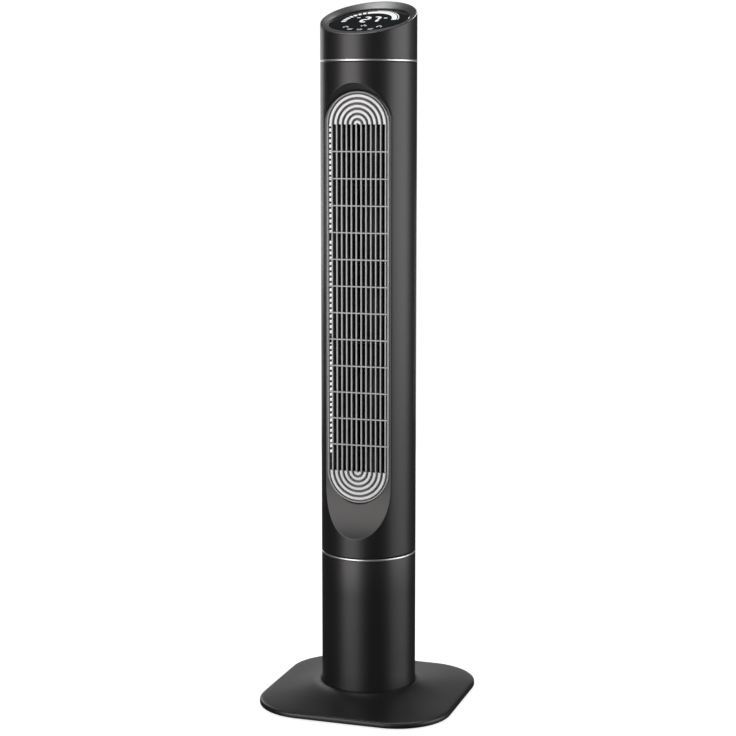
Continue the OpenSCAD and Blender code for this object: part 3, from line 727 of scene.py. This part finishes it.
def bar_mark(u0, v0, u1, v1, width):
    """A straight strip with slanted ends, as the segments of a digit have."""
    a, b = Vector((u0, v0)), Vector((u1, v1))
    along = (b - a).normalized()
    side = Vector((-along.y, along.x)) * width / 2
    tip = along * width / 2
    return [tuple(p) for p in (a, a + tip + side, b - tip + side, b, b - tip - side, a + tip - side)]


def digit_marks(digit, u, v, w, h, width):
    """Seven-segment strokes of a digit whose lower left corner is at u, v."""
    places = {
        "top": (u, v + h, u + w, v + h), "middle": (u, v + h / 2, u + w, v + h / 2), "low": (u, v, u + w, v),
        "upper_left": (u, v + h / 2, u, v + h), "upper_right": (u + w, v + h / 2, u + w, v + h),
        "lower_left": (u, v, u, v + h / 2), "lower_right": (u + w, v, u + w, v + h / 2),
    }
    strokes = {2: ["top", "upper_right", "middle", "lower_left", "low"],
               7: ["top", "upper_right", "lower_right"]}
    return [bar_mark(*places[s], width) for s in strokes[digit]]


def ring_mark(u, v, radius, width, start=0, end=360):
    """A round strip about u, v, whole or from one angle to another."""
    outline = arc_mark((radius, radius), (radius - width, radius - width), start, end, 28)
    return [(u + a, v + b) for a, b in outline]


def make_display():
    """Lit marks and printed icons, all generic: a speed arc, two digits, small signs and six touch icons.
    Places and sizes are in panel millimetres and degrees."""
    arc_out = (46, 54.5)
    lit = [arc_mark(arc_out, (38, 43), 1, 112), arc_mark((49.5, 58), (47.9, 56.2), 2, 92)]
    lit += [arc_mark(arc_out, (38.6, 43.8), start, start + 7.5, count=8) for start in range(115, 190, 11)]
    lit += digit_marks(2, -12, -10, 9.5, 30, 5.0) + digit_marks(7, 5.5, -10, 9.5, 30, 5.0)
    lit += [bar_mark(-26, 17, -19, 17, 3.2), ring_mark(25.5, 12, 3.0, 1.6)]
    add_marks("display_lights", lit, "lit_white")
    icons = []
    for u, v in ((-27, -40), (2, -34), (30, -40)):
        icons.append(ring_mark(u, v, 5.0, 2.2, -50, 230))
        icons.append(bar_mark(u, v, u, v + 7.0, 2.2))
    for u, v in ((-16, -53), (1.5, -56), (19, -54)):
        icons.append(bar_mark(u - 5, v + 2.4, u + 5, v + 2.4, 2.4))
        icons.append(bar_mark(u - 5, v - 2, u + 5, v - 2, 2.4))
    add_marks("display_icons", icons, "icon_grey")


# ---- CAD nodes that stay ----

def even_shell_nodes():
    """Modifier nodes that shade a turned shell's round faces straight away from the axis or towards it.
    They set normals only: no point moves, and the CAD mesh itself stays as it is."""
    round_enough = 0.97
    group = bpy.data.node_groups.new("even_shell", "GeometryNodeTree")
    for way in ("INPUT", "OUTPUT"):
        group.interface.new_socket("Mesh", in_out=way, socket_type="NodeSocketGeometry")

    def add(kind, sources=(), output=0, **settings):
        node = group.nodes.new(kind)
        for key, value in settings.items():
            setattr(node, key, value)
        for socket, source in zip(node.inputs, sources):
            if isinstance(source, bpy.types.NodeSocket):
                group.links.new(source, socket)
            else:
                socket.default_value = source
        return node.outputs[output]

    def on_faces(value):
        return add("GeometryNodeFieldOnDomain", [value], data_type="FLOAT_VECTOR", domain="FACE")

    def outward(place):
        level = add("ShaderNodeVectorMath", [place, (1, 1, 0)], operation="MULTIPLY")
        return add("ShaderNodeVectorMath", [level], operation="NORMALIZE")

    place = add("GeometryNodeInputPosition")
    flat = on_faces(add("GeometryNodeInputNormal", output="True Normal"))
    facing = add("ShaderNodeVectorMath", [flat, outward(on_faces(place))], "Value", operation="DOT_PRODUCT")
    sign = add("ShaderNodeMath", [facing], operation="SIGN")
    radial = add("ShaderNodeVectorMath", [outward(place), sign], operation="MULTIPLY")
    size = add("ShaderNodeMath", [facing], operation="ABSOLUTE")
    is_round = add("ShaderNodeMath", [size, round_enough], operation="GREATER_THAN")
    normal = add("GeometryNodeSwitch", [is_round, flat, radial], input_type="VECTOR")
    mesh = add("GeometryNodeSetMeshNormal", [add("NodeGroupInput"), normal], mode="FREE", domain="CORNER")
    group.links.new(mesh, group.nodes.new("NodeGroupOutput").inputs[0])
    return group


def finish_nodes():
    """Gives each shown CAD node its slot's material, smooth curved faces and, where they're coarse enough,
    softened edges."""
    slots = {row["node"]: row["material_slot"] for row in frame["record"]["subparts"]}
    too_fine = {"impeller", "swivel_gear", "swing_pinion"}
    for name, node in frame["nodes"].items():
        if node.hide_render:
            continue
        node.data.materials.clear()
        node.data.materials.append(MATERIALS[slots[name]])
        node.data.shade_smooth()
        if name == "rear_casing":
            node.modifiers.new("even_shell", "NODES").node_group = even_shell_nodes()
            continue
        weld = node.modifiers.new("weld", "WELD")
        weld.merge_threshold = 0.002 * MM
        if name not in too_fine:
            soft = node.modifiers.new("soft_edges", "BEVEL")
            soft.width = 0.25 * MM
            soft.segments = 2
            soft.limit_method = "ANGLE"
            soft.angle_limit = math.radians(50)
            soft.harden_normals = True
        node.data.set_sharp_from_angle(angle=math.radians(30))


# ---- Stage ----

def floor_material():
    """Pale studio paper: plain, with a very faint fibre, and white where it runs into the distance."""
    material, tree, shader, coords = new_material("studio_paper")
    fibre = noise(tree, coords, 240.0, detail=4.0)
    tree.links.new(tint(tree, fibre, (0.60, 0.60, 0.60), (0.64, 0.64, 0.64)), shader.inputs["Base Color"])
    shader.inputs["Roughness"].default_value = 0.9
    shader.inputs["Specular IOR Level"].default_value = 0.1
    length = tree.nodes.new("ShaderNodeVectorMath")
    length.operation = "LENGTH"
    tree.links.new(coords, length.inputs[0])
    shader.inputs["Emission Color"].default_value = (1, 1, 1, 1)
    tree.links.new(spread(tree, length.outputs["Value"], 0.3, 3.0, 0.72, 1.0),
                   shader.inputs["Emission Strength"])
    return material


def make_floor():
    """A flat disc, too wide for its edge to show, that neither lights the object nor shows in its gloss."""
    parts = 96
    radii = (0.01, 0.2, 0.5, 1.0, 2.0, 4.0, 10.0, 40.0, 120.0)
    rings = [[(r * math.cos(t), r * math.sin(t), 0.0) for t in angles(parts)] for r in radii]
    verts, faces = loft(rings)
    faces.append(tuple(range(parts)))
    mesh = bpy.data.meshes.new("studio_floor")
    mesh.from_pydata(verts, [], faces)
    mesh.materials.append(floor_material())
    floor = bpy.data.objects.new("studio_floor", mesh)
    bpy.context.scene.collection.objects.link(floor)
    floor.visible_glossy = False
    floor.visible_diffuse = False


def make_world():
    """White behind the object; a dim grey room for what it reflects."""
    world = bpy.data.worlds.new("studio")
    bpy.context.scene.world = world
    world.use_nodes = True
    tree = world.node_tree
    tree.nodes.clear()
    room, backdrop = tree.nodes.new("ShaderNodeBackground"), tree.nodes.new("ShaderNodeBackground")
    room.inputs["Color"].default_value = (0.9, 0.95, 1.0, 1)
    room.inputs["Strength"].default_value = 0.05
    backdrop.inputs["Color"].default_value = (1, 1, 1, 1)
    backdrop.inputs["Strength"].default_value = 1.05
    path = tree.nodes.new("ShaderNodeLightPath")
    blend = tree.nodes.new("ShaderNodeMixShader")
    out = tree.nodes.new("ShaderNodeOutputWorld")
    tree.links.new(path.outputs["Is Camera Ray"], blend.inputs["Fac"])
    tree.links.new(room.outputs["Background"], blend.inputs[1])
    tree.links.new(backdrop.outputs["Background"], blend.inputs[2])
    tree.links.new(blend.outputs["Shader"], out.inputs["Surface"])


def add_softbox(name, bearing, distance, height, size, power, aim_height=None, colour=(1, 1, 1)):
    """An area light at this bearing from the front, in degrees to the camera's right, aimed at the axis."""
    light = bpy.data.lights.new(name, "AREA")
    light.shape = "RECTANGLE"
    light.size, light.size_y = size
    light.energy = power
    light.color = colour
    lamp = bpy.data.objects.new(name, light)
    a = math.radians(bearing)
    place = Vector((distance * math.sin(a), -distance * math.cos(a), height))
    target = Vector((0, 0, height if aim_height is None else aim_height))
    lamp.location = place
    lamp.rotation_euler = (place - target).to_track_quat("Z", "Y").to_euler()
    lamp.visible_camera = False
    bpy.context.scene.collection.objects.link(lamp)


CAMERA_AZ = 18.0  # degrees to the right of the front
CAMERA_PITCH = 7.68  # degrees below the level
CAMERA_PAN = 0.025  # degrees to the left of the axis
CAMERA_DISTANCE = 2.92
CAMERA_HEIGHT = 1.0
FOCAL_SHARE = 2.376  # focal length over the sensor's width
SENSOR_MM = 36.0
LENS_SHIFT = -0.03


def make_camera():
    """The photograph's view."""
    data = bpy.data.cameras.new("camera")
    data.sensor_width = SENSOR_MM
    data.lens = SENSOR_MM * FOCAL_SHARE
    data.shift_y = LENS_SHIFT
    data.clip_start, data.clip_end = 0.05, 200.0
    camera = bpy.data.objects.new("camera", data)
    a, e = math.radians(CAMERA_AZ), math.radians(CAMERA_PITCH)
    camera.location = (CAMERA_DISTANCE * math.sin(a), -CAMERA_DISTANCE * math.cos(a), CAMERA_HEIGHT)
    camera.rotation_euler = (math.pi / 2 - e, 0.0, a + math.radians(CAMERA_PAN))
    bpy.context.scene.collection.objects.link(camera)
    bpy.context.scene.camera = camera


def make_lights():
    """Tall softboxes left and right give the two soft bands down the tower, and weaker ones under them
    light the base. Two behind light the back edges, and two small ones over the head its slanted band."""
    add_softbox("left_box", CAMERA_AZ - 43, 2.2, 0.85, (1.7, 2.1), 50, colour=(1.0, 0.965, 0.95))
    add_softbox("left_low_box", CAMERA_AZ - 43, 2.2, -0.7, (1.7, 0.9), 6.5)
    add_softbox("right_box", CAMERA_AZ + 79, 2.0, 1.2, (2.0, 2.0), 39)
    add_softbox("right_low_box", CAMERA_AZ + 79, 2.0, -0.3, (2.0, 0.9), 8)
    add_softbox("rear_box", CAMERA_AZ + 184, 2.2, 0.42, (2.6, 0.7), 5.0)
    add_softbox("edge_strip", CAMERA_AZ + 212, 2.0, 1.25, (0.45, 1.4), 6)
    add_softbox("top_box", CAMERA_AZ - 95, 0.2, 1.85, (0.3, 0.3), 7.0, aim_height=1.15)
    add_softbox("left_spot", CAMERA_AZ + 160, 0.85, 1.8, (0.25, 0.25), 5.5, aim_height=1.15)


bpy.context.scene.view_settings.view_transform = "Standard"
make_camera()
make_world()
make_lights()
make_floor()
make_base()
make_column()
make_trim_ring("lower_ring", "lower_trim_ring", "stand")
make_front_casing()
make_grille_rim()
make_slats()
make_ribs()
make_cap("cap_upper", "upper_grille_cap", ARC_TOP, 1)
make_cap("cap_lower", "lower_grille_cap", ARC_LOW, -1)
make_trim_ring("upper_ring", "upper_trim_ring", "tower")
make_head()
make_panel()
make_display()
finish_nodes()
